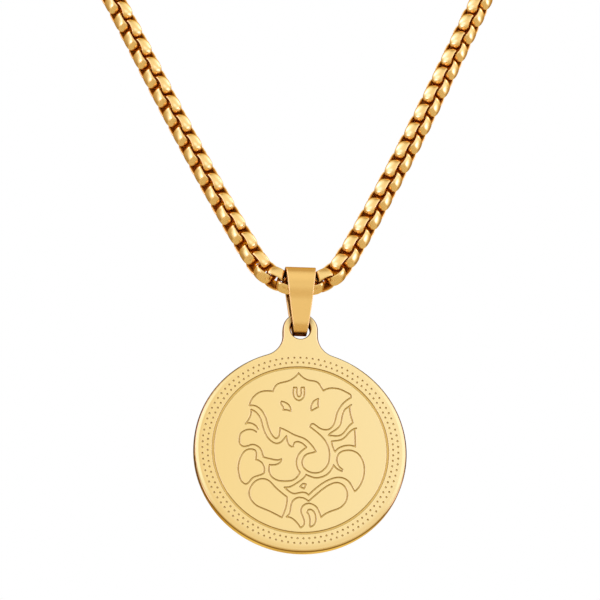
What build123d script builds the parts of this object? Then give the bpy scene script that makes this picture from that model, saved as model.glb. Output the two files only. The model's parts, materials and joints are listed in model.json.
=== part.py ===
from build123d import *
import math
import os

# Sizes are in millimetres and angles in degrees. The origin is the middle of the neck opening, level
# with the chain at the nape, with +Z up and the pendant hanging in front, at -Y.

# Medallion: a round disc with a tab on top that the bail goes through
disc_d = 30.0
disc_t = 1.5
rim_r = 0.35
tab_r = 2.5
tab_hole_d = 2.75
tab_hole_edge = 0.3
tab_stand = 3.1
tab_flare_r = 3.1

# Engraving on the front face
engrave_depth = 0.16
line_w = 0.2
steps_per_point = 3
groove_inset = 2.7
groove_w = 0.34
dot_d = 0.28
dot_count = 100
outer_dots_inset = 1.22
inner_dots_inset = 1.94
grid_across = 87.3
grid_up = 82.4
grid_lean = 0.032

# Bail: a folded strip, wide over the chain and narrow at the fold in the tab's hole
bail_wall = 0.5
bail_top_w = 4.3
bail_tip_w = 1.8
bail_bulge = 0.14
bail_drop = 5.5
bail_fold_t = 1.0
seat_share = 0.3
hole_use = 0.93
bail_edge_r = 0.1
bail_chain_gap = 0.5
swing_gap = 0.1

# Chain: round box links, each turned a quarter against the next
chain_d = 3.0
link_pitch = 1.78
link_play = 0.28
link_bar_t = 0.38
link_pad_t = 0.42
link_band_w = 1.7
link_corner = 0.45
link_relief_in = 0.28
link_relief_across = 0.5
flat_run = 60.0

# End rings and clasp
ring_wire_d = 0.7
ring_in_r = 1.6
ring_gap = 0.1
clasp_len = 14.0
clasp_w = 5.0
clasp_t = 1.6
clasp_wall = 0.9
clasp_eye_d = 2.0
clasp_hook_len = 6.0
clasp_edge_r = 0.3

# Where the chain's middle line runs, from the bail round the right of the neck: x, y, z. The left side
# mirrors it, and the last point, by the clasp, follows from the clasp's size.
CHAIN_ROUTE = [
    (0.0, -56.0, -118.0),
    (2.5, -55.95, -117.54),
    (5.0, -55.65, -115.9),
    (6.9, -55.25, -113.1),
    (9.6, -54.5, -108.0),
    (14.5, -53.0, -98.0),
    (19.1, -51.3, -88.0),
    (23.5, -49.3, -78.0),
    (27.8, -46.6, -68.0),
    (35.0, -40.4, -51.3),
    (41.8, -31.4, -36.4),
    (48.0, -19.2, -23.6),
    (52.0, -3.2, -14.2),
    (51.8, 14.6, -8.6),
    (45.2, 31.2, -4.8),
    (30.4, 45.0, -2.0),
]
NAPE = (51.4, 0.0)

# The engraved figure: each stroke runs through points (across, up) on a grid from the disc's middle,
# whose level lines rise to the right by grid_lean
FIGURE = [
    # Crown, from its peak down both sides
    [(-2, 77), (-6.5, 72), (-12, 69), (-18, 67.5), (-22.5, 66), (-26, 62.5), (-27.5, 58.5)],
    [(-2, 77), (2.5, 72.5), (7, 70), (12.5, 69), (17, 67.5), (20, 64), (23, 59)],
    # Tops of the ears
    [(-27.5, 58.5), (-34, 59), (-40, 58), (-45.5, 54.5), (-49.5, 49.5), (-51, 44.5)],
    [(50.5, 52), (50.5, 54.5), (47, 57), (41, 60), (35, 61.5), (29, 61.5), (23, 59)],
    # Inner line of each ear
    [(-51, 44.5), (-44, 43.5), (-39, 39.5), (-36, 35), (-34, 30), (-32.5, 24), (-30.5, 19), (-28, 14.5),
     (-24, 11.5), (-21.5, 14.5), (-20.8, 18.5), (-20.5, 22)],
    [(9.5, 23), (12.5, 26), (16.5, 23.5), (20.5, 21), (25, 20), (29.5, 21), (33, 25), (35, 30.5),
     (36.5, 36.5), (39, 41.5), (43, 46.5), (50.5, 52)],
    # Outer line of each ear
    [(-49.5, 40.5), (-45.5, 38.5), (-42, 35), (-39.5, 30.5), (-38, 25), (-36.5, 20), (-34.5, 15.5),
     (-31.5, 11), (-28, 8), (-24, 6.5), (-20, 7.5), (-16.5, 11), (-14, 14)],
    [(51, 45), (47.5, 42.5), (44, 39.5), (42, 35), (41, 30), (39.5, 24.5), (36, 20.5), (32, 18),
     (28, 14.5)],
    # Upper left arm and hand
    [(-49.5, 40.5), (-49.5, 36.5), (-51, 32), (-53.5, 28), (-55, 26)],
    [(-55, 26), (-51, 27), (-47.5, 26), (-44, 23.5), (-42.5, 21)],
    [(-44, 18), (-47.5, 20), (-52, 20.5), (-56.5, 19), (-60, 16), (-61, 11), (-60.5, 6.5), (-58, 4),
     (-54.5, 3.8), (-51.5, 4.4)],
    [(-51.5, 4.4), (-47.5, 5.5), (-43, 4), (-39.5, 0.5), (-38, -3.5), (-37, -7)],
    [(-37, -7), (-33.5, -8), (-29, -9), (-24, -10), (-19, -9)],
    [(-19, -9), (-20.5, -12.5), (-24.5, -14.5), (-31, -14.5)],
    # Upper right arm
    [(28, 14.5), (32, 14), (37, 13.8), (41, 15), (44.5, 18.5), (48, 23), (52.5, 27)],
    [(49.3, 43.5), (49.5, 38), (50.8, 32.5), (52.5, 27)],
    [(56, 21.5), (52, 20), (48.5, 17), (45, 13), (40.5, 10), (35.5, 9), (31, 8.5)],
    [(31, 8.5), (32, 4), (34.5, -2)],
    [(54.2, 20.5), (54.6, 12), (54.8, 3)],
    [(34.5, -2), (38, 1.5), (43, 3.7), (49, 4.4), (54.8, 3)],
    # Tusks
    [(-14, 14), (-13.5, 10.5), (-12, 6), (-9.5, 3.5), (-7, 3.5)],
    [(-7, 3.5), (-6.5, 6.5), (-4.5, 8), (-1, 7.8), (2.5, 6), (6, 2.5)],
    # Trunk: its upper line, its curl and its outer line
    [(-20.5, 22), (-15.5, 20), (-10, 17), (-5, 14.5), (0, 12.8), (5, 10.5), (9, 7), (12.5, 3),
     (15.5, -1.5)],
    [(15.5, -1.5), (11, -3), (6, -4.5), (3, -7.5), (1.5, -12.5), (3.5, -18), (8, -21.5), (14, -23),
     (20, -22)],
    [(20, -22), (25, -18), (28, -12.5), (29, -6), (28.5, 0.5), (26, 7), (21.5, 13), (16, 18), (9.5, 23)],
    [(6, 2.5), (2.5, 0), (-1, -3.5), (-3.5, -8), (-4, -13), (-3, -18), (-0.5, -22)],
    # Belly and waist
    [(-31, -14.5), (-31.5, -19), (-30.5, -23.5), (-27, -28), (-21, -30.5), (-14, -31), (-7.5, -30),
     (-3, -26.5), (-0.5, -22)],
    [(33, -15), (30.5, -20), (26.5, -24.5), (21, -27), (15, -27.8), (10, -26.5), (5.5, -24.5)],
    [(5.5, -24.5), (2, -29), (-3, -32.5), (-9, -36), (-16, -37)],
    [(-16, -37), (-11.5, -41), (-6.5, -43.3), (-1, -42.5), (3.5, -42.2), (8, -45)],
    # Lower right arm and hand
    [(33, -15), (36, -18.5), (41.5, -21.3)],
    [(42, -19.5), (38.5, -16.5), (36.5, -11.5), (37, -6), (40.5, -2.2), (46, -0.6), (52, -1), (57.5, -4),
     (61.5, -9.5), (63.5, -16), (63.5, -23.5), (61.5, -31), (58, -37.5), (54, -41.5)],
    # Lower left arm and hand
    [(-44.5, -9.5), (-40.5, -11), (-37.5, -14), (-36, -18.5), (-36.5, -23)],
    [(-36.5, -23), (-40.5, -25), (-45.5, -26.5), (-49.5, -29.5), (-52.5, -33), (-55, -33.8)],
    [(-55, -33.8), (-58.5, -31), (-61, -25), (-62, -18), (-61, -10.5), (-58, -4), (-54, 0), (-49, 1),
     (-45, -0.5), (-44, -4), (-44.5, -9.5)],
    # Right thigh, its outer and inner line
    [(8, -45), (12, -41), (17.5, -36.5), (24, -32), (30.5, -29), (37, -27.5), (43, -28.3), (48, -31.5),
     (51.5, -36.5), (54, -41.5)],
    [(8, -51), (12.5, -47), (18.5, -42), (25, -37), (30.5, -34), (36, -32.6), (41, -34), (45, -38),
     (46.7, -43), (46, -49), (43, -54.5), (38.5, -58), (32, -60.3), (27, -62.3), (20.5, -67)],
    # Left thigh
    [(-13.5, -46.5), (-20, -41.5), (-26, -36), (-31.5, -30.5), (-36.5, -28.6), (-42.5, -29.6),
     (-47.5, -33.5), (-50.5, -38.5), (-51, -44), (-48.5, -50), (-43.5, -55), (-37, -58), (-30, -61),
     (-24, -64), (-18.5, -67)],
    [(-18.5, -67), (-16, -61), (-14, -54.5), (-13.4, -49.5), (-13.5, -46.5)],
    # Folded cloth and feet between the thighs
    [(8, -51), (3.5, -48), (-1.5, -47.2), (-6, -49), (-9, -53), (-10, -58), (-11, -62.5), (-14, -66.3)],
    [(-14, -66.3), (-9.5, -67.2), (-5.5, -70), (-2, -74), (0, -77)],
    [(20.5, -67), (19, -62.5), (16.5, -57.5), (12, -54), (7, -53.2), (2.5, -55.5), (0.5, -59.5),
     (1.5, -64), (3.5, -69), (3.3, -74), (0, -77)],
    [(9.5, -76.2), (9.3, -70), (8.8, -65.5), (6.5, -62)],
    [(6.5, -62), (9.5, -59), (13, -61), (15, -65.5), (15, -70), (13.5, -74), (9.5, -76.2)],
    # Navel
    [(-0.5, -36.5), (2.5, -33.5)],
    [(2.5, -33.5), (5.5, -34)],
    [(5.5, -34), (3.5, -38.5)],
    [(3.5, -38.5), (-0.5, -36.5)],
    # Mark on the forehead
    [(-7, 62.5), (-7.2, 57.5), (-6.4, 53.2), (-4.3, 50.4), (-1.6, 49.4), (1.2, 50.4), (3.2, 53.2),
     (4, 57.5), (3.8, 62.5)],
    [(-3.8, 62.4), (-3.7, 57.5), (-3.1, 54.6), (-1.5, 53.1), (0.1, 54.6), (0.7, 57.5), (0.8, 62.4)],
    [(-7, 62.5), (-3.8, 62.4)],
    [(0.8, 62.4), (3.8, 62.5)],
    # Left eye and right eye
    [(-19, 48.5), (-14.5, 47), (-11, 44), (-10, 38.5)],
    [(-10, 38.5), (-14, 40), (-17.5, 40)],
    [(-17.5, 40), (-18, 44), (-19.5, 46.5), (-19, 48.5)],
    [(18, 51), (14.5, 49.5), (11.5, 46), (10.5, 42), (11, 39)],
    [(11, 39), (14.5, 41), (18, 42.8)],
    [(18, 42.8), (17.4, 47), (18, 51)],
]

# Sizes that follow from the ones above
disc_r = disc_d / 2
tab_rise = disc_r + tab_stand
groove_r = disc_r - groove_inset
tab_hole_r = tab_hole_d / 2
link_len = link_pitch + 2 * link_bar_t + link_play
seat_x, seat_y, seat_z = CHAIN_ROUTE[0]
nape_y, nape_z = NAPE

# The tab's web turns inside the bail's lower roll about its own middle. Its section is measured from
# its top to where the strip's width meets the round hole. The strip is that wide at seat_share of the
# way from its tip to its top, and it fills at most hole_use of the hole.
bail_roll_r = chain_d / 2 + bail_chain_gap
seat_half_w = (bail_tip_w + seat_share * (bail_top_w - bail_tip_w)) / 2
web_top = tab_r
web_bottom = math.sqrt(tab_hole_r**2 - min(seat_half_w, hole_use * tab_hole_r) ** 2)
web_mid = (web_top + web_bottom) / 2
web_half = (web_top - web_bottom) / 2
web_soft = min(rim_r, tab_hole_edge)
web_reach = max(math.hypot(disc_t / 2 - web_soft, web_half), math.hypot(disc_t / 2, web_half - web_soft))
seat_r = web_reach + swing_gap
pivot_z = seat_z - bail_drop
hole_z = pivot_z - web_mid
disc_z = hole_z - tab_rise


def seat_in_ring(wall_t, wall_w):
    """Distance from an end ring's middle to the middle of a wall that hangs in it."""
    return math.sqrt((ring_in_r - ring_gap) ** 2 - (wall_w / 2) ** 2) - wall_t / 2


link_to_ring = seat_in_ring(link_bar_t, link_band_w) + (link_len - link_bar_t) / 2
clasp_to_ring = seat_in_ring(clasp_wall, clasp_t) + (clasp_len - clasp_wall) / 2
chain_end_x = clasp_to_ring + link_to_ring


# Medallion: outline and tab, softened rim, hole, then the engraving
face = Plane(origin=(0, seat_y - disc_t / 2, disc_z), x_dir=(1, 0, 0), z_dir=(0, -1, 0))

with BuildPart() as medallion:
    with BuildSketch(face) as outline:
        Circle(disc_r)
        with Locations((0, tab_rise)):
            Circle(tab_r)
        with Locations((0, tab_rise / 2)):
            Rectangle(2 * tab_r, tab_rise)
        fillet(outline.vertices().group_by(Axis.Y)[0], tab_flare_r)
    extrude(amount=-disc_t)
    fillet(medallion.faces().filter_by(Axis.Y).edges(), rim_r)
    with BuildSketch(face):
        with Locations((0, tab_rise)):
            Circle(tab_hole_r)
    extrude(amount=-disc_t, mode=Mode.SUBTRACT)
    hole_edges = medallion.edges().filter_by(
        lambda edge: edge.geom_type == GeomType.CIRCLE and abs(edge.radius - tab_hole_r) < 1e-6
    )
    fillet(hole_edges, tab_hole_edge)
    with BuildSketch(face):
        Circle(groove_r + groove_w / 2)
        Circle(groove_r - groove_w / 2, mode=Mode.SUBTRACT)
        with PolarLocations(disc_r - outer_dots_inset, dot_count):
            Circle(dot_d / 2)
        with PolarLocations(disc_r - inner_dots_inset, dot_count, start_angle=180 / dot_count):
            Circle(dot_d / 2)
        for stroke in FIGURE:
            points = [
                (groove_r * across / grid_across, groove_r * (up + grid_lean * across) / grid_up)
                for across, up in stroke
            ]
            stroke_steps = steps_per_point * len(points)
            with BuildLine():
                curve = Spline if len(points) > 2 else Line
                middle = curve(*points, mode=Mode.PRIVATE)
                shares = [step / stroke_steps for step in range(stroke_steps + 1)]
                aside = [(middle % share).rotate(Axis.Z, 90) * line_w / 2 for share in shares]
                left = Spline(*[middle @ share + offset for share, offset in zip(shares, aside)])
                right = Spline(*[middle @ share - offset for share, offset in zip(shares, aside)])
                Line(left @ 0, right @ 0)
                Line(left @ 1, right @ 1)
            make_face()
            with Locations(middle @ 0, middle @ 1):
                Circle(line_w / 2)
    extrude(amount=-engrave_depth, mode=Mode.SUBTRACT)
medallion.part.label = "medallion"


# Bail: side outline round its two rolls, hollowed, then trimmed to the strip's tapering front outline
side = Plane(origin=(0, seat_y, seat_z), x_dir=(0, 1, 0), z_dir=(1, 0, 0))
front = Plane(origin=(0, seat_y, seat_z), x_dir=(1, 0, 0), z_dir=(0, -1, 0))
bail_out_r = bail_roll_r + bail_wall
fold_r = seat_r + bail_wall
tip_z = -bail_drop - seat_r - bail_fold_t
taper = (bail_top_w - bail_tip_w) / 2 / (bail_out_r - tip_z)
trim_top = (bail_top_w / 2 + taper * bail_wall, bail_out_r + bail_wall)
trim_tip = (bail_tip_w / 2 - taper * bail_wall, tip_z - bail_wall)
trim_middle = ((trim_top[0] + trim_tip[0]) / 2 + bail_bulge, (trim_top[1] + trim_tip[1]) / 2)

with BuildPart() as bail:
    with BuildSketch(side):
        Circle(bail_out_r)
        with Locations((0, tip_z + fold_r)):
            Circle(fold_r)
        make_hull()
    extrude(amount=bail_top_w, both=True)
    with BuildSketch(side):
        Circle(bail_roll_r)
        with Locations((0, -bail_drop)):
            Circle(seat_r)
        make_hull()
    extrude(amount=bail_top_w, both=True, mode=Mode.SUBTRACT)
    with BuildSketch(front):
        with BuildLine():
            edge = ThreePointArc(trim_top, trim_middle, trim_tip)
            Line(edge @ 1, (0, trim_tip[1]))
            Line(edge @ 0, (0, trim_top[1]))
            mirror(about=Plane.YZ)
        make_face()
    extrude(amount=2 * bail_out_r, both=True, mode=Mode.INTERSECT)
    strip_sides = bail.faces().sort_by(Axis.X)
    fillet(strip_sides[0].edges() + strip_sides[-1].edges(), bail_edge_r)
bail.part.label = "bail"


# One chain link: a rounded ring lying flat, turned round the chain's line, its bars relieved inside so
# that links can bend against each other
with BuildPart() as link:
    with BuildSketch() as ring:
        Rectangle(link_len, chain_d)
        chamfer(ring.vertices(), link_corner)
        Rectangle(link_len - 2 * link_bar_t, chain_d - 2 * link_pad_t, mode=Mode.SUBTRACT)
    extrude(amount=link_band_w / 2, both=True)
    with BuildSketch(Plane.YZ):
        Circle(chain_d / 2)
    extrude(amount=link_len, both=True, mode=Mode.INTERSECT)
    with BuildSketch(Plane.XZ):
        with BuildLine():
            inner_x = link_len / 2 - link_bar_t
            Polyline(
                (inner_x, link_band_w / 2),
                (inner_x + link_relief_in, link_band_w / 2),
                (inner_x, link_band_w / 2 - link_relief_across),
                close=True,
            )
        make_face()
        mirror(about=Plane.YZ)
        mirror(about=Plane.XZ)
    extrude(amount=chain_d / 2 - link_pad_t, both=True, mode=Mode.SUBTRACT)


# Chain: the links stand evenly along a smooth line through the route's points
right_points = CHAIN_ROUTE + [(chain_end_x, nape_y, nape_z)]
left_points = [(-x, y, z) for x, y, z in reversed(right_points[1:])]
with BuildLine() as route:
    Spline(*left_points, *right_points, tangents=[(-1, 0, 0), (-1, 0, 0)], tangent_scalars=[1, 1])
chain_line = route.edges()[0]
half_count = round(chain_line.length / link_pitch / 2)
steps = [chain_line.length * index / (2 * half_count) for index in range(2 * half_count + 1)]
tangents = [chain_line.tangent_at(step, position_mode=PositionMode.LENGTH) for step in steps]


def fronts_without_twist():
    """The outward direction at each link, carried both ways from the pendant without any twist."""
    fronts = {}
    for order in (range(half_count, 2 * half_count + 1), range(half_count, -1, -1)):
        outward = Vector(0, -1, 0)
        for index in order:
            along = tangents[index]
            outward = (outward - along * outward.dot(along)).normalized()
            fronts[index] = outward
    return fronts


def link_planes():
    """Where each link stands: quarter turns in step, and an eighth more by the clasp to lie flat."""
    fronts = fronts_without_twist()
    planes = []
    end_roll = 45 if half_count % 2 == 0 else -45
    for index, step in enumerate(steps):
        to_end = min(step, chain_line.length - step)
        roll = 45 if (index - half_count) % 2 == 0 else -45
        roll += end_roll * max(0, 1 - to_end / flat_run)
        hole_axis = fronts[index].rotate(Axis((0, 0, 0), tangents[index]), roll)
        middle = chain_line.position_at(step, position_mode=PositionMode.LENGTH)
        planes.append(Plane(origin=middle, x_dir=tangents[index], z_dir=hole_axis))
    return planes


with BuildPart() as chain:
    with Locations(*link_planes()):
        add(link.part)
chain.part.label = "chain"


# End rings: they lie flat, each through the chain's last link and through the clasp
def end_ring(ring_x):
    """A round wire ring with its middle at ring_x."""
    with BuildPart() as ring:
        with Locations((ring_x, nape_y, nape_z)):
            Torus(ring_in_r + ring_wire_d / 2, ring_wire_d / 2)
    return ring.part


ring_left = end_ring(-clasp_to_ring)
ring_left.label = "ring_left"
ring_right = end_ring(clasp_to_ring)
ring_right.label = "ring_right"


# Clasp: one plain plate, closed, with an eye at one end and a longer opening at the other
with BuildPart() as clasp:
    with BuildSketch(Plane(origin=(0, nape_y, nape_z), x_dir=(1, 0, 0), z_dir=(0, -1, 0))):
        SlotOverall(clasp_len, clasp_w)
        with Locations((-clasp_len / 2 + clasp_wall + clasp_eye_d / 2, 0)):
            Circle(clasp_eye_d / 2, mode=Mode.SUBTRACT)
        with Locations((clasp_len / 2 - clasp_wall - clasp_hook_len / 2, 0)):
            SlotOverall(clasp_hook_len, clasp_w - 2 * clasp_wall, mode=Mode.SUBTRACT)
    extrude(amount=clasp_t / 2, both=True)
    fillet(clasp.edges(), clasp_edge_r)
clasp.part.label = "clasp"

chain_length = chain_line.length + 2 * chain_end_x
print(f"{len(steps)} links, {chain_length:.1f} mm round the whole necklace")

os.makedirs("parts", exist_ok=True)
export_step(medallion.part, "parts/medallion.step")
export_step(bail.part, "parts/bail.step")
export_step(chain.part, "parts/chain.step")
export_step(ring_left, "parts/ring_left.step")
export_step(ring_right, "parts/ring_right.step")
export_step(clasp.part, "parts/clasp.step")
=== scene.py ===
"""A gold coloured pendant necklace: an engraved medallion on a folded bail, hung from a round box chain."""

import json
import math

import bmesh
import bpy
import numpy as np
from bpy.props import FloatProperty, FloatVectorProperty, PointerProperty
from mathutils import Matrix, Vector


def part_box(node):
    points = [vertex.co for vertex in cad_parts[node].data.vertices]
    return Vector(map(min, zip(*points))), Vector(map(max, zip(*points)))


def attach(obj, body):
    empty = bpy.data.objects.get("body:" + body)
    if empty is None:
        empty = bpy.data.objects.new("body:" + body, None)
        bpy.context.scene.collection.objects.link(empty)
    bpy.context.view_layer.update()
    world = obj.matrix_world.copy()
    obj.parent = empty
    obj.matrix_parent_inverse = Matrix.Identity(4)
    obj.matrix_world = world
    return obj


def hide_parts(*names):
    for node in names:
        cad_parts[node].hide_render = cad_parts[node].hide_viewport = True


bl_info = {
    "name": "Engraved Pendant Necklace",
    "version": (1, 0, 0),
    "blender": (4, 5, 0),
    "location": "3D View > Sidebar > Necklace",
    "description": "Finishes a pendant necklace: chain links, bail, medallion, clasp and a pale studio",
    "category": "Object",
}

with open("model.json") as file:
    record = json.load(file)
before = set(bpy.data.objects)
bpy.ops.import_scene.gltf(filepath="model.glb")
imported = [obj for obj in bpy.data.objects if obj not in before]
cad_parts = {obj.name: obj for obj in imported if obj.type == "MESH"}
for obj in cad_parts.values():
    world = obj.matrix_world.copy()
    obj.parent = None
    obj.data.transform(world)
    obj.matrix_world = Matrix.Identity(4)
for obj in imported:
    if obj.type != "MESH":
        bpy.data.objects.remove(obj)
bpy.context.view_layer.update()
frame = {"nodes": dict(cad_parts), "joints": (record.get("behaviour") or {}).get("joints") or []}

MM = 0.001


def linear(hex_colour):
    """An sRGB hex colour as linear red, green, blue and full alpha."""
    parts = [int(hex_colour[i : i + 2], 16) / 255 for i in (1, 3, 5)]
    parts = [c / 12.92 if c <= 0.04045 else ((c + 0.055) / 1.055) ** 2.4 for c in parts]
    return (*parts, 1.0)


def colour_property(label, hex_colour):
    """A colour that a user can change, with its default as a hex value."""
    return FloatVectorProperty(
        name=label,
        description=f"Colour of the {label.lower()}",
        subtype="COLOR",
        size=4,
        min=0.0,
        max=1.0,
        default=linear(hex_colour),
    )


def length_property(label, description, millimetres):
    """A length that a user can change, given in millimetres."""
    return FloatProperty(
        name=label, description=description, default=millimetres * MM, unit="LENGTH", precision=5
    )


class NecklaceSizes(bpy.types.PropertyGroup):
    """The necklace's sizes"""

    link_length: length_property("Link length", "Outside length of one link along the chain", 3.2)
    link_width: length_property("Link width", "Outside width of one link from pad to pad", 3.12)
    link_band: length_property("Link band", "Width of the band that a link is made of", 1.86)
    link_wall: length_property("Link wall", "Thickness of a link's wall", 0.55)
    engraving_depth: length_property("Engraving depth", "How deep the engraving is cut", 0.16)


class NecklaceColours(bpy.types.PropertyGroup):
    """The necklace's colours"""

    satin_gold: colour_property("Satin gold", "#F0D28D")
    # The face's lighter tone towards the right, a painted light
    satin_gold_lit: colour_property("Light satin gold", "#F4DCA1")
    bail_gold: colour_property("Bail gold", "#EBC072")
    # The engraved cuts are painted darker as shade, most at their edges
    engraved_shade_gold: colour_property("Engraved gold", "#A07400")
    groove_shade_gold: colour_property("Groove gold", "#D8B468")
    # Painted shade on the medallion's turned edge and in a line along its rim
    edge_shade_gold: colour_property("Edge gold", "#946C26")
    shaded_edge_gold: colour_property("Shaded edge gold", "#5E4210")
    # Painted shade inside the medallion's rim, on the left and at the bottom
    dull_gold: colour_property("Dull gold", "#DEB56A")
    # A painted highlight on the bail's edges, the medallion's edges and along its rim
    rubbed_highlight_gold: colour_property("Rubbed gold", "#FFF0B8")
    polished_gold: colour_property("Polished gold", "#F0CB82")
    # Painted shade in the chain's crevices and on the inner faces of its links
    recess_shade_gold: colour_property("Recess gold", "#C68A34")
    # Painted shade in the bail's and the medallion's crevices
    dark_gold: colour_property("Dark gold", "#6B3A06")
    floor: colour_property("Floor", "#D4CDA2")


# Settings that several nodes share. A Mix node's inputs go by number: _0 is its share, _2 and _3 are its
# values, and _6 and _7 are its colours.
MULTIPLY = {"operation": "MULTIPLY"}
SUBTRACT = {"operation": "SUBTRACT"}
MAXIMUM = {"operation": "MAXIMUM"}
DOT_PRODUCT = {"operation": "DOT_PRODUCT"}
OF_COLOURS = {"data_type": "RGBA"}
SMOOTH_STEP = {"interpolation_type": "SMOOTHSTEP"}
FEW_SAMPLES = {"samples": 8}


def add_node(tree, kind, settings=None, **inputs):
    """Adds a node with its settings. An input goes by its name, or by its number as in _0. It is given a
    value to set, or a socket or a node to link, and a node is linked by its first output in use."""
    node = tree.nodes.new(kind)
    for name, value in (settings or {}).items():
        setattr(node, name, value)
    for name, value in inputs.items():
        socket = node.inputs[int(name[1:]) if name.startswith("_") else name.replace("_", " ")]
        if isinstance(value, bpy.types.Node):
            value = next(output for output in value.outputs if output.enabled)
        if isinstance(value, bpy.types.NodeSocket):
            tree.links.new(value, socket)
        else:
            socket.default_value = value
    return node


def new_material(name):
    """A material with an empty node tree."""
    material = bpy.data.materials.new(name)
    material.use_nodes = True
    material.node_tree.nodes.clear()
    return material, material.node_tree


def crevices(tree, reach, shallow=0.6, deep=0.15):
    """How deep in a crevice each point lies, from 0 to 1, used as the share of painted shade there. What
    counts as shallow and as deep is given as the share of the open that the point still sees within a reach."""
    seen = add_node(tree, "ShaderNodeAmbientOcclusion", FEW_SAMPLES, Distance=reach).outputs["AO"]
    return add_node(tree, "ShaderNodeMapRange", Value=seen, From_Min=shallow, From_Max=deep)


def rounded_edges(tree, radius):
    """The normal with its edges rounded, and how near an edge each point lies: 0 away from it, 1 on it."""
    rounded = add_node(tree, "ShaderNodeBevel", FEW_SAMPLES, Radius=radius)
    plain = add_node(tree, "ShaderNodeNewGeometry").outputs["Normal"]
    alike = add_node(tree, "ShaderNodeVectorMath", DOT_PRODUCT, _0=rounded, _1=plain)
    edge = add_node(tree, "ShaderNodeMapRange", Value=alike, From_Min=0.995, From_Max=0.88)
    return rounded, edge


def gold_shader(tree, colour, roughness, normal):
    """A metal surface that keeps its colour at a glancing view too, as gold does."""
    shader = add_node(
        tree,
        "ShaderNodeBsdfPrincipled",
        Base_Color=colour,
        Specular_Tint=colour,
        Metallic=1.0,
        Roughness=roughness,
        Normal=normal,
    )
    add_node(tree, "ShaderNodeOutputMaterial", Surface=shader)


# The rub marks of the polished gold are about 1 mm across, and those of its recesses are finer
RUB_MARKS_PER_MM = 0.9
RECESS_MARKS_PER_MM = 1.5
RUB_MARK_DEPTH = 0.05 * MM


def polished_gold_plate(colours):
    """Gold plating over tumbled brass: near mirror bright where it's polished by rubbing, with the recess
    gold painted in its crevices as shade.
    """
    material, tree = new_material("polished_gold_plate")
    place = add_node(tree, "ShaderNodeTexCoord").outputs["Object"]
    rubbing = add_node(tree, "ShaderNodeTexNoise", Vector=place, Scale=RUB_MARKS_PER_MM / MM, Detail=3.0)
    roughness = add_node(tree, "ShaderNodeMapRange", Value=rubbing, To_Min=0.16, To_Max=0.24)
    bump = add_node(tree, "ShaderNodeBump", Height=rubbing, Strength=0.03, Distance=RUB_MARK_DEPTH)
    painted_crevice_shade = crevices(tree, 1.2 * MM)
    # Crevices take the recess gold, a painted shade
    colour = add_node(
        tree, "ShaderNodeMix", OF_COLOURS, _0=painted_crevice_shade, _6=colours.polished_gold, _7=colours.recess_shade_gold
    )
    gold_shader(tree, colour, roughness, bump)
    return material


def recess_shade_gold_plate(colours):
    """Gold plating on the links' inner faces, where the tumbling doesn't reach: duller, and painted darker
    as shade.
    """
    material, tree = new_material("recess_shade_gold_plate")
    place = add_node(tree, "ShaderNodeTexCoord").outputs["Object"]
    grain = add_node(tree, "ShaderNodeTexNoise", Vector=place, Scale=RECESS_MARKS_PER_MM / MM, Detail=2.0)
    roughness = add_node(tree, "ShaderNodeMapRange", Value=grain, To_Min=0.3, To_Max=0.45)
    bump = add_node(tree, "ShaderNodeBump", Height=grain, Strength=0.03, Distance=RUB_MARK_DEPTH)
    gold_shader(tree, colours.recess_shade_gold, roughness, bump)
    return material


# The satin grain is drawn 0.4 mm across, coarser than real blasting, so that it still shows
SATIN_GRAINS_PER_MM = 2.5
SATIN_GRAIN_DEPTH = 0.03 * MM


def satin_finish(tree, place, normal):
    """The normal with the fine grain of satin plating on it, and the roughness that the grain gives."""
    grain = add_node(tree, "ShaderNodeTexNoise", Vector=place, Scale=SATIN_GRAINS_PER_MM / MM, Detail=2.0)
    roughness = add_node(tree, "ShaderNodeMapRange", Value=grain, To_Min=0.26, To_Max=0.34)
    bump = add_node(
        tree, "ShaderNodeBump", Height=grain, Strength=0.05, Distance=SATIN_GRAIN_DEPTH, Normal=normal
    )
    return bump, roughness


# The rounding of the bail's edges, and the waist below its roll, where the strip bends in
BAIL_EDGE = 0.26 * MM
BAIL_WAIST_BELOW_AXIS = 2.1 * MM
BAIL_WAIST_LENGTH = 2.0 * MM
BAIL_WAIST_DEPTH = 0.24 * MM


def satin_bail_plate(colours, waist_z):
    """Gold plating over a bent and brushed strip, pressed in below its roll, with a painted highlight along
    its edges and painted shade in its crevices.
    """
    material, tree = new_material("satin_gold_bail")
    place = add_node(tree, "ShaderNodeTexCoord").outputs["Object"]
    height = add_node(tree, "ShaderNodeSeparateXYZ", Vector=place).outputs["Z"]
    low = waist_z - BAIL_WAIST_LENGTH / 2
    high = waist_z + BAIL_WAIST_LENGTH / 2
    waist = add_node(tree, "ShaderNodeMapRange", SMOOTH_STEP, Value=height, From_Min=low, From_Max=high)
    rounded, edge = rounded_edges(tree, BAIL_EDGE)
    pressed = add_node(
        tree, "ShaderNodeBump", Height=waist, Strength=1.0, Distance=BAIL_WAIST_DEPTH, Normal=rounded
    )
    bump, roughness = satin_finish(tree, place, pressed)
    # The rounded edges get a painted highlight
    highlighted_edges = add_node(tree, "ShaderNodeMix", OF_COLOURS, _0=edge, _6=colours.bail_gold, _7=colours.rubbed_highlight_gold)
    # The bail's crevices get painted shade
    painted_crevice_shade = crevices(tree, 4.0 * MM, shallow=0.75, deep=0.3)
    colour = add_node(tree, "ShaderNodeMix", OF_COLOURS, _0=painted_crevice_shade, _6=highlighted_edges, _7=colours.dark_gold)
    gold_shader(tree, colour, roughness, bump)
    return material


# The rounding of the medallion's edges, and how far in from the disc's edge its plain rim reaches
MEDALLION_EDGE = 0.15 * MM
PLAIN_RIM = 0.5 * MM

# Depths below the face, as shares of the engraving's: where a cut begins, and where it has ended
INTO_CUT = (0.05, 0.3)
BELOW_CUT = (1.3, 1.4)

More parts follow.
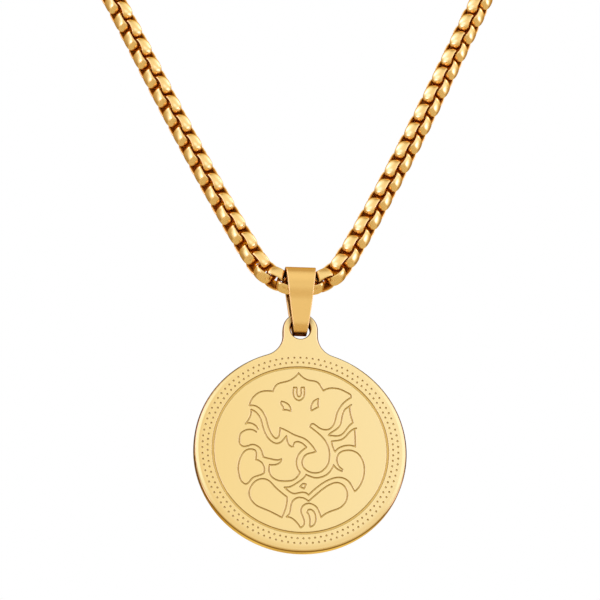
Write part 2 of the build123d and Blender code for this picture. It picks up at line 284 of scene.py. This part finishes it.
# From side to side of the disc, in millimetres: where painted light makes the face grow lighter towards the
# right
LIGHT_DRIFT = (-12.0, 14.0)

# Heights over the disc's middle, as shares of its radius
ABOVE_BOTTOM = (-0.6, -0.25)
BELOW_TAB = (0.8, 0.4)
BELOW_TAB_FOOT = (0.88, 0.8)

# Bands along the disc's edge, of painted shade and highlight: how far in each begins and is full, in
# millimetres, and how strong it is
RIM_SHADE_BAND = (1.2, 0.6, 0.4)
RIM_HIGHLIGHT_BAND = (0.72, 0.57, 0.85)
DARK_LINE = (0.3, 0.18, 0.8)

# A point that looks up counts as turned from the face by so much more, for a deeper painted shade, and what
# is turned is this rough
TURNED_BY_LOOKING_UP = 0.09
POLISHED_ROUGHNESS = 0.12


class DiscRuler:
    """Measures where each point lies on the medallion's disc, with nodes of its material. A measure is 0 at
    its first place and 1 at its last."""

    def __init__(self, tree, place, middle, radius, engraving_depth):
        self.tree = tree
        self.middle = middle
        self.radius = radius
        self.engraving_depth = engraving_depth
        self.across = add_node(tree, "ShaderNodeSeparateXYZ", Vector=place)
        self.reach = add_node(tree, "ShaderNodeVectorMath", {"operation": "DISTANCE"}, _0=place, _1=middle)

    def sideways(self, first, last):
        """Between two places from side to side, in millimetres."""
        x = self.across.outputs["X"]
        return add_node(self.tree, "ShaderNodeMapRange", Value=x, From_Min=first * MM, From_Max=last * MM)

    def depth(self, first, last):
        """Between two depths below the face, as shares of the engraving's depth."""
        y = self.across.outputs["Y"]
        first = self.middle.y + first * self.engraving_depth
        last = self.middle.y + last * self.engraving_depth
        return add_node(self.tree, "ShaderNodeMapRange", Value=y, From_Min=first, From_Max=last)

    def height(self, first, last):
        """Between two heights over the disc's middle, as shares of its radius."""
        z = self.across.outputs["Z"]
        first = self.middle.z + first * self.radius
        last = self.middle.z + last * self.radius
        return add_node(self.tree, "ShaderNodeMapRange", Value=z, From_Min=first, From_Max=last)

    def engraved_part(self):
        """1 on the face and in its cuts, and 0 on the plain rim, below the cuts and on the back."""
        edge = self.radius - PLAIN_RIM
        within = add_node(self.tree, "ShaderNodeMath", {"operation": "LESS_THAN"}, _0=self.reach, _1=edge)
        below = self.depth(*BELOW_CUT)
        above = add_node(self.tree, "ShaderNodeMath", SUBTRACT, _0=1.0, _1=below)
        return add_node(self.tree, "ShaderNodeMath", MULTIPLY, _0=within, _1=above)

    def band(self, first, last, strength, part, below):
        """A band along the disc's edge, up to its strength, on one part of the disc and below a height."""
        first = self.radius - first * MM
        last = self.radius - last * MM
        share = add_node(
            self.tree, "ShaderNodeMapRange", Value=self.reach, From_Min=first, From_Max=last, To_Max=strength
        )
        share = add_node(self.tree, "ShaderNodeMath", MULTIPLY, _0=share, _1=part)
        return add_node(self.tree, "ShaderNodeMath", MULTIPLY, _0=share, _1=below)


def face_with_painted_light(tree, colours, ruler, edge):
    """The face's colour, with painted light that makes it lighter from side to side of the disc. The rim's
    sides get a painted highlight away from the tab, with a painted shade line outside that, and rounded
    edges get a painted highlight. Painted shade lies inside that on the left, and at the bottom."""
    lit_share = ruler.sideways(*LIGHT_DRIFT)
    above_bottom = ruler.height(*ABOVE_BOTTOM)
    below_tab = ruler.height(*BELOW_TAB)
    left = add_node(tree, "ShaderNodeMath", SUBTRACT, _0=1.0, _1=lit_share)
    bottom = add_node(tree, "ShaderNodeMath", SUBTRACT, _0=1.0, _1=above_bottom)
    left_or_bottom = add_node(tree, "ShaderNodeMath", MAXIMUM, _0=left, _1=bottom)
    # Painted shade inside the rim, on the left and at the bottom
    dull = ruler.band(*RIM_SHADE_BAND, part=left_or_bottom, below=below_tab)
    # A painted highlight along the rim, away from the tab and the bottom
    rim_highlight = ruler.band(*RIM_HIGHLIGHT_BAND, part=above_bottom, below=below_tab)
    # A painted shade line just inside the disc's edge
    line = ruler.band(*DARK_LINE, part=above_bottom, below=ruler.height(*BELOW_TAB_FOOT))
    off_line = add_node(tree, "ShaderNodeMath", SUBTRACT, _0=1.0, _1=line)
    # Rounded edges off that line get a painted highlight
    edge_highlight = add_node(tree, "ShaderNodeMath", MULTIPLY, _0=edge, _1=off_line)
    face = colours.satin_gold
    for share, tone in (
        (lit_share, colours.satin_gold_lit),
        (dull, colours.dull_gold),
        (rim_highlight, colours.rubbed_highlight_gold),
        (line, colours.edge_shade_gold),
        (edge_highlight, colours.rubbed_highlight_gold),
    ):
        face = add_node(tree, "ShaderNodeMix", OF_COLOURS, _0=share, _6=face, _7=tone)
    return face


def turn_from_face(tree, rounded):
    """How polished each point is, how much painted shade it gets for its turn from the face, and how far it
    looks up.
    """
    turned = add_node(
        tree,
        "ShaderNodeVectorTransform",
        {"vector_type": "NORMAL", "convert_from": "WORLD", "convert_to": "OBJECT"},
        _0=rounded,
    )
    to_front = add_node(tree, "ShaderNodeVectorMath", DOT_PRODUCT, _0=turned, _1=(0.0, -1.0, 0.0))
    # 1 on the face and on the back, and 0 on what is square to them
    level = add_node(tree, "ShaderNodeMath", {"operation": "ABSOLUTE"}, _0=to_front)
    polish = add_node(tree, "ShaderNodeMapRange", Value=level, From_Min=0.995, From_Max=0.93)
    height = add_node(tree, "ShaderNodeSeparateXYZ", Vector=turned).outputs["Z"]
    up = add_node(tree, "ShaderNodeMapRange", Value=height, From_Min=-0.35, From_Max=0.1)
    shaded = add_node(
        tree, "ShaderNodeMath", {"operation": "MULTIPLY_ADD"}, _0=up, _1=-TURNED_BY_LOOKING_UP, _2=level
    )
    off_level = add_node(tree, "ShaderNodeMapRange", Value=shaded, From_Min=0.85, From_Max=0.64)
    off_square = add_node(tree, "ShaderNodeMapRange", Value=level, From_Min=0.1, From_Max=0.3)
    dark = add_node(tree, "ShaderNodeMath", MULTIPLY, _0=off_level, _1=off_square)
    return polish, dark, up


def satin_medallion_plate(colours, middle, radius, engraving_depth):
    """Gold plating over a satin disc: its face has a soft sheen, what turns away from it is polished, and
    painted shade darkens the turn itself and the engraved cuts, most at their edges."""
    material, tree = new_material("satin_gold_medallion")
    place = add_node(tree, "ShaderNodeTexCoord").outputs["Object"]
    ruler = DiscRuler(tree, place, middle, radius, engraving_depth)
    rounded, edge = rounded_edges(tree, MEDALLION_EDGE)
    bump, satin_roughness = satin_finish(tree, place, rounded)
    polish, dark, up = turn_from_face(tree, rounded)
    roughness = add_node(tree, "ShaderNodeMix", _0=polish, _2=satin_roughness, _3=POLISHED_ROUGHNESS)

    # The turn gets painted shade, more where it looks up
    turn_shade_tone = add_node(
        tree, "ShaderNodeMix", OF_COLOURS, _0=up, _6=colours.edge_shade_gold, _7=colours.shaded_edge_gold
    )
    # Inside the engraved cuts the colour is painted shade, most at their edges
    cut_shade_tone = add_node(
        tree, "ShaderNodeMix", OF_COLOURS, _0=edge, _6=colours.groove_shade_gold, _7=colours.engraved_shade_gold
    )
    engraved_part = ruler.engraved_part()
    cut = add_node(tree, "ShaderNodeMath", MULTIPLY, _0=ruler.depth(*INTO_CUT), _1=engraved_part)
    plain_part = add_node(tree, "ShaderNodeMath", SUBTRACT, _0=1.0, _1=engraved_part)
    # Crevices off the engraved face, as where the tab meets the bail, get painted shade
    painted_crevice_shade = crevices(tree, 3.0 * MM, shallow=0.85, deep=0.45)
    shade = add_node(tree, "ShaderNodeMath", MULTIPLY, _0=painted_crevice_shade, _1=plain_part)
    colour = face_with_painted_light(tree, colours, ruler, edge)
    for share, tone in ((dark, turn_shade_tone), (cut, cut_shade_tone), (shade, colours.dark_gold)):
        colour = add_node(tree, "ShaderNodeMix", OF_COLOURS, _0=share, _6=colour, _7=tone)
    gold_shader(tree, colour, roughness, bump)
    return material


def cover(piece, *materials):
    """Gives a piece its materials in place of those it has."""
    piece.data.materials.clear()
    for material in materials:
        piece.data.materials.append(material)


def deselect_all():
    """Nothing stays selected or in edit mode."""
    if bpy.context.object and bpy.context.object.mode != "OBJECT":
        bpy.ops.object.mode_set(mode="OBJECT")
    bpy.ops.object.select_all(action="DESELECT")


def select_corners(piece, wanted):
    """In edit mode, selects the piece's corners that the test wants, and no others."""
    bpy.ops.mesh.select_mode(type="VERT")
    bpy.ops.mesh.select_all(action="DESELECT")
    mesh = bmesh.from_edit_mesh(piece.data)
    for corner in mesh.verts:
        if wanted(corner):
            corner.select_set(True)
    mesh.select_flush_mode()
    bmesh.update_edit_mesh(piece.data)


# A link from its ends to the middle of its pads, column by column: how far it stands out from a plain
# ring, and how much of the band's width it has
LINK_COLUMNS = ((1.0, 0.66), (1.075, 0.84), (1.17, 0.98), (1.075, 1.0), (1.0, 1.0))
COLUMNS_AROUND_LINK = 4 * (len(LINK_COLUMNS) - 1)
CORNERS_AROUND_BAND = 10


def link_column(corner):
    """Which of its columns a corner of the link is in."""
    return round(math.atan2(abs(corner.co.y), abs(corner.co.x)) / math.tau * COLUMNS_AROUND_LINK)


def model_link(sizes, outside, inside):
    """One link, flat at the origin: its length along X, its pads at +Y and -Y, its hole along Z."""
    deselect_all()
    bpy.ops.mesh.primitive_torus_add(
        major_segments=COLUMNS_AROUND_LINK,
        minor_segments=CORNERS_AROUND_BAND,
        major_radius=(sizes.link_width - sizes.link_wall) / 2,
        minor_radius=sizes.link_wall / 2,
    )
    link = bpy.context.object
    link.name = "link"
    bpy.ops.object.mode_set(mode="EDIT")
    for column, (reach, band) in enumerate(LINK_COLUMNS):
        select_corners(link, lambda corner: link_column(corner) == column)
        bpy.ops.transform.resize(value=(reach, reach, band * sizes.link_band / sizes.link_wall))
    bpy.ops.object.mode_set(mode="OBJECT")
    cover(link, outside, inside)
    # Faces that look into the link take the recess gold, a painted shade
    for face in link.data.polygons:
        if face.normal.x * face.center.x + face.normal.y * face.center.y < 0:
            face.material_index = 1
    smooth = link.modifiers.new("smooth", "SUBSURF")
    smooth.levels = smooth.render_levels = 1
    bpy.ops.object.modifier_apply(modifier=smooth.name)
    link.dimensions = (sizes.link_length, sizes.link_width, sizes.link_band)
    bpy.ops.object.transform_apply(location=False, rotation=False, scale=True)
    bpy.ops.object.shade_smooth()
    return link


def loose_parts(mesh):
    """The corners of each loose part of a mesh, once a copy's doubled corners are merged."""
    merged = bmesh.new()
    merged.from_mesh(mesh)
    bmesh.ops.remove_doubles(merged, verts=merged.verts, dist=0.001 * MM)
    seen = set()
    parts = []
    for start in merged.verts:
        if start in seen:
            continue
        seen.add(start)
        # The part grows while it is walked through, until it has all its corners
        part = [start]
        for vertex in part:
            for edge in vertex.link_edges:
                other = edge.other_vert(vertex)
                if other not in seen:
                    seen.add(other)
                    part.append(other)
        parts.append(np.array([vertex.co for vertex in part]))
    merged.free()
    return parts


def links_in_order():
    """The corners and the middle of each link of the frame's chain, in order from the left end."""
    parts = loose_parts(frame["nodes"]["chain"].data)
    middles = [(part.min(axis=0) + part.max(axis=0)) / 2 for part in parts]
    ring_low, ring_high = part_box("ring_left")
    here = np.array((ring_low + ring_high) / 2)
    links = []
    left = set(range(len(parts)))
    while left:
        nearest = min(left, key=lambda index: np.linalg.norm(middles[index] - here))
        left.remove(nearest)
        links.append((parts[nearest], middles[nearest]))
        here = middles[nearest]
    return links


def link_pose(corners, middle, along):
    """A link's true middle, and its directions from pad to pad and through its hole."""
    from_middle = corners - middle
    across = from_middle - np.outer(from_middle @ along, along)
    # A link's corners spread furthest from pad to pad
    pads = np.linalg.eigh(across.T @ across)[1][:, 2]
    hole = np.cross(along, pads)
    true_middle = middle.copy()
    for axis in (along, pads, hole):
        reach = from_middle @ axis
        true_middle += axis * (reach.min() + reach.max()) / 2
    return true_middle, pads, hole


# The way to the viewer, in front of the chain and below it. So many links to each side of the bail are
# rolled to it in full, and the roll has run out so many links away.
SEEN_FROM = np.array((0.0, -0.93, -0.36))
ROLLED_LINKS = 32
ROLL_RUNS_OUT = 62
QUARTER_TURN = math.radians(90)


def rolled_to_viewer(pads, hole, links_from_bail):
    """A link's two directions, rolled about the chain so that both rows of pads show alike."""
    seen = math.atan2(SEEN_FROM @ hole, SEEN_FROM @ pads)
    roll = seen - (math.floor(seen / QUARTER_TURN) + 0.5) * QUARTER_TURN
    roll *= min(1.0, max(0.0, (ROLL_RUNS_OUT - links_from_bail) / (ROLL_RUNS_OUT - ROLLED_LINKS)))
    rolled_pads = math.cos(roll) * pads + math.sin(roll) * hole
    rolled_hole = math.cos(roll) * hole - math.sin(roll) * pads
    return rolled_pads, rolled_hole


def chain_link_places():
    """Where each link of the chain stands, in order from the left end: a matrix for each."""
    links = links_in_order()
    last = len(links) - 1
    places = []
    for step, (corners, middle) in enumerate(links):
        before = links[max(step - 1, 0)][1]
        after = links[min(step + 1, last)][1]
        along = (after - before) / np.linalg.norm(after - before)
        true_middle, pads, hole = link_pose(corners, middle, along)
        pads, hole = rolled_to_viewer(pads, hole, abs(step - last / 2))
        turn = Matrix((along, pads, hole)).transposed().to_4x4()
        places.append(Matrix.Translation(true_middle) @ turn)
    return places


def copy_links(link, places, name):
    """One mesh of a link's copies at their places."""
    copies = []
    for place in places:
        copy = bpy.data.objects.new(name, link.data.copy())
        copy.data.transform(place)
        bpy.context.scene.collection.objects.link(copy)
        copies.append(copy)
    deselect_all()
    for copy in copies:
        copy.select_set(True)
    bpy.context.view_layer.objects.active = copies[0]
    bpy.ops.object.join()
    return bpy.context.object


class NECKLACE_OT_chain(bpy.types.Operator):
    """Make the round box chain"""

    bl_idname = "necklace.chain"
    bl_label = "Chain"

    def execute(self, context):
        colours = context.scene.necklace_colours
        outside = polished_gold_plate(colours)
        link = model_link(context.scene.necklace_sizes, outside, recess_shade_gold_plate(colours))
        places = chain_link_places()
        half = len(places) // 2
        for name, stretch in (("chain_left", places[:half]), ("chain_right", places[half:])):
            piece = copy_links(link, stretch, name)
            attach(piece, "chain")
            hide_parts("chain")
        bpy.data.objects.remove(link)
        return {"FINISHED"}


def joint_place(name):
    """Where a joint of the frame turns."""
    return Vector(next(joint for joint in frame["joints"] if joint["name"] == name)["pos_m"])


class NECKLACE_OT_bail(bpy.types.Operator):
    """Finish the folded bail"""

    bl_idname = "necklace.bail"
    bl_label = "Bail"

    def execute(self, context):
        waist_z = joint_place("bail_swing").z - BAIL_WAIST_BELOW_AXIS
        cover(frame["nodes"]["bail"], satin_bail_plate(context.scene.necklace_colours, waist_z))
        return {"FINISHED"}


class NECKLACE_OT_medallion(bpy.types.Operator):
    """Finish the engraved medallion"""

    bl_idname = "necklace.medallion"
    bl_label = "Medallion"

    def execute(self, context):
        # The disc is as wide as the medallion and reaches its bottom, and the tab stands above the disc
        low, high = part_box("medallion")
        radius = (high.x - low.x) / 2
        middle = Vector(((low.x + high.x) / 2, low.y, low.z + radius))
        depth = context.scene.necklace_sizes.engraving_depth
        gold = satin_medallion_plate(context.scene.necklace_colours, middle, radius, depth)
        cover(frame["nodes"]["medallion"], gold)
        return {"FINISHED"}


class NECKLACE_OT_closure(bpy.types.Operator):
    """Finish the clasp and its two end rings"""

    bl_idname = "necklace.closure"
    bl_label = "Clasp and rings"

    def execute(self, context):
        gold = polished_gold_plate(context.scene.necklace_colours)
        for name in ("clasp", "ring_left", "ring_right"):
            cover(frame["nodes"][name], gold)
        return {"FINISHED"}


# The photograph's view: the camera's angles, its distance in metres and its sensor, the photograph's width
# and its pixels to the millimetre at the bail, and how far below the bail's axis its middle lies
CAMERA_AZIMUTH = math.radians(-5.0)
CAMERA_ELEVATION = math.radians(-21.0)
CAMERA_DISTANCE = 0.8
SENSOR_MM = 36.0
PHOTO_PX = 600
PHOTO_PX_PER_MM = 7.05
AIM_BELOW_AXIS_PX = 15.2


def camera_axes():
    """The camera's forward, right and up directions."""
    forward = Vector(
        (
            -math.sin(CAMERA_AZIMUTH) * math.cos(CAMERA_ELEVATION),
            math.cos(CAMERA_AZIMUTH) * math.cos(CAMERA_ELEVATION),
            -math.sin(CAMERA_ELEVATION),
        )
    )
    right = Vector((math.cos(CAMERA_AZIMUTH), math.sin(CAMERA_AZIMUTH), 0))
    return forward, right, right.cross(forward)


def add_camera():
    """A camera at the photograph's angle, aimed just below the chain's lowest link."""
    forward, right, up = camera_axes()
    aim = joint_place("bail_swing") - up * AIM_BELOW_AXIS_PX / PHOTO_PX_PER_MM * MM
    data = bpy.data.cameras.new("camera")
    data.sensor_width = SENSOR_MM
    data.lens = SENSOR_MM * PHOTO_PX_PER_MM * CAMERA_DISTANCE / MM / PHOTO_PX
    data.clip_start = 0.01
    camera = bpy.data.objects.new("camera", data)
    bpy.context.scene.collection.objects.link(camera)
    turn = Matrix((right, up, -forward)).transposed().to_4x4()
    camera.matrix_world = Matrix.Translation(aim - forward * CAMERA_DISTANCE) @ turn
    bpy.context.scene.camera = camera


# The tent's brightness by height, from straight down at -1 to straight up at 1
TENT_RISE = (
    (-1.0, 0.8),
    (-0.38, 0.8),
    (-0.2, 0.9),
    (-0.05, 0.98),
    (0.36, 1.08),
    (0.64, 1.13),
    (0.8, 1.1),
    (0.93, 1.0),
    (1.0, 0.6),
)

# Each part of the tent's light has a way to it, the angles in degrees from there at which it is full and
# gone, and its strength. The back of the tent is dimmed to a share of the front, and the white card stands
# behind the necklace, the way that the camera looks.
TENT_FRONT = ((0.0, -0.86, 0.51), 60, 115, 1.0)
TENT_BACK_SHARE = 0.52
WHITE_CARD = (camera_axes()[0], 6, 10, 1.0)

# What the chain's pads reflect on its two strands: each is a wide glow with a bright core
LEFT_PANEL = (-0.94, -0.28, -0.19)
RIGHT_PANEL = (1.0, -0.05, -0.08)
UPPER_LEFT_PANEL = (-0.65, 0.05, 0.755)
UPPER_RIGHT_PANEL = (0.71, 0.28, 0.65)
TENT_PANELS = (
    (LEFT_PANEL, 8, 30, 0.8),
    (RIGHT_PANEL, 8, 30, 0.8),
    (UPPER_LEFT_PANEL, 8, 28, 0.8),
    (UPPER_RIGHT_PANEL, 8, 28, 0.8),
    (LEFT_PANEL, 3, 13, 2.2),
    (RIGHT_PANEL, 3, 13, 2.2),
    (UPPER_LEFT_PANEL, 3, 13, 2.2),
    (UPPER_RIGHT_PANEL, 3, 13, 2.2),
    # Softer ones at the front right and front left, and one at the back below
    ((0.72, -0.58, 0.38), 6, 22, 0.6),
    ((-0.8, -0.47, 0.38), 6, 22, 0.9),
    ((0.1, 0.92, -0.38), 10, 40, 0.7),
)

# The light's colours by its brightness, and between which brightnesses each passes into the next
WARM_DIM = (1.0, 0.72, 0.36, 1.0)
WHITE = (1.0, 1.0, 1.0, 1.0)
COOL_GLARE = (1.0, 0.84, 1.45, 1.0)
WARM_TO_WHITE = (0.45, 1.0)
WHITE_TO_COOL = (1.1, 2.0)


def light_patch(tree, direction, axis, inner, outer, strength):
    """A soft patch of light about an axis, full at an inner angle and gone at an outer one, in degrees."""
    along = add_node(tree, "ShaderNodeVectorMath", DOT_PRODUCT, _0=direction, _1=axis)
    return add_node(
        tree,
        "ShaderNodeMapRange",
        SMOOTH_STEP,
        Value=along,
        From_Min=math.cos(math.radians(outer)),
        From_Max=math.cos(math.radians(inner)),
        To_Max=strength,
    )


def tent_by_height(tree, direction):
    """The tent's brightness by height alone."""
    height = add_node(tree, "ShaderNodeSeparateXYZ", Vector=direction).outputs["Z"]
    rise = add_node(tree, "ShaderNodeMapRange", Value=height, From_Min=-1.0, From_Max=1.0)
    ramp = add_node(tree, "ShaderNodeValToRGB", Fac=rise)
    stops = ramp.color_ramp.elements
    while len(stops) < len(TENT_RISE):
        stops.new(0.5)
    for stop, (level, brightness) in zip(stops, TENT_RISE):
        stop.position = (level + 1) / 2
        stop.color = (brightness, brightness, brightness, 1.0)
    return ramp


def light_tone(tree, brightness):
    """The light's colour: warm where it is dim, white where it is full, and cool in the panels' glare."""
    tone = WARM_DIM
    for (first, last), next_tone in ((WARM_TO_WHITE, WHITE), (WHITE_TO_COOL, COOL_GLARE)):
        share = add_node(tree, "ShaderNodeMapRange", Value=brightness, From_Min=first, From_Max=last)
        tone = add_node(tree, "ShaderNodeMix", OF_COLOURS, _0=share, _6=tone, _7=next_tone)
    return tone


def studio_world():
    """A light tent, drawn by direction: dim at the back, bright panels round it, and a white card behind."""
    world = bpy.data.worlds.new("studio")
    world.use_nodes = True
    tree = world.node_tree
    tree.nodes.clear()
    direction = add_node(tree, "ShaderNodeTexCoord").outputs["Generated"]
    front = light_patch(tree, direction, *TENT_FRONT)
    dimmed = add_node(tree, "ShaderNodeMapRange", Value=front, To_Min=TENT_BACK_SHARE, To_Max=1.0)
    light = add_node(tree, "ShaderNodeMath", MULTIPLY, _0=tent_by_height(tree, direction), _1=dimmed)
    for panel in TENT_PANELS:
        patch = light_patch(tree, direction, *panel)
        light = add_node(tree, "ShaderNodeMath", {"operation": "ADD"}, _0=light, _1=patch)
    card = light_patch(tree, direction, *WHITE_CARD)
    light = add_node(tree, "ShaderNodeMath", MAXIMUM, _0=light, _1=card)
    tone = light_tone(tree, light)
    background = add_node(tree, "ShaderNodeBackground", Color=tone, Strength=light)
    add_node(tree, "ShaderNodeOutputWorld", Surface=background)
    return world


# In metres
FLOOR_SIZE = 7.0
FLOOR_HEIGHT = -1.3


def matt_paper(colours):
    """Plain uncoated paper, rolled out as a backdrop: pale and without a shine."""
    material, tree = new_material("matt_paper_floor")
    shader = add_node(tree, "ShaderNodeBsdfPrincipled", Base_Color=colours.floor, Roughness=0.8)
    add_node(tree, "ShaderNodeOutputMaterial", Surface=shader)
    return material


class NECKLACE_OT_stage(bpy.types.Operator):
    """Set up the pale floor, the studio light and the camera"""

    bl_idname = "necklace.stage"
    bl_label = "Stage"

    def execute(self, context):
        deselect_all()
        bpy.ops.mesh.primitive_plane_add(size=FLOOR_SIZE, location=(0, 0, FLOOR_HEIGHT))
        floor = bpy.context.object
        floor.name = "floor"
        cover(floor, matt_paper(context.scene.necklace_colours))
        context.scene.world = studio_world()
        context.scene.view_settings.view_transform = "Standard"
        add_camera()
        return {"FINISHED"}


class NECKLACE_PT_panel(bpy.types.Panel):
    """The necklace's pieces"""

    bl_idname = "NECKLACE_PT_panel"
    bl_label = "Necklace"
    bl_space_type = "VIEW_3D"
    bl_region_type = "UI"
    bl_category = "Necklace"

    def draw(self, context):
        for operator in OPERATORS:
            self.layout.operator(operator.bl_idname)


OPERATORS = (
    NECKLACE_OT_chain,
    NECKLACE_OT_bail,
    NECKLACE_OT_medallion,
    NECKLACE_OT_closure,
    NECKLACE_OT_stage,
)
CLASSES = (NecklaceSizes, NecklaceColours, *OPERATORS, NECKLACE_PT_panel)


def register():
    """Adds the classes, and gives each scene the necklace's sizes and colours."""
    for item in CLASSES:
        bpy.utils.register_class(item)
    bpy.types.Scene.necklace_sizes = PointerProperty(type=NecklaceSizes)
    bpy.types.Scene.necklace_colours = PointerProperty(type=NecklaceColours)


def unregister():
    """Takes away what register adds."""
    del bpy.types.Scene.necklace_colours
    del bpy.types.Scene.necklace_sizes
    for item in reversed(CLASSES):
        bpy.utils.unregister_class(item)


def main():
    """Makes the necklace and its stage."""
    register()
    bpy.ops.necklace.chain()
    bpy.ops.necklace.bail()
    bpy.ops.necklace.medallion()
    bpy.ops.necklace.closure()
    bpy.ops.necklace.stage()


if __name__ == "__main__":
    main()
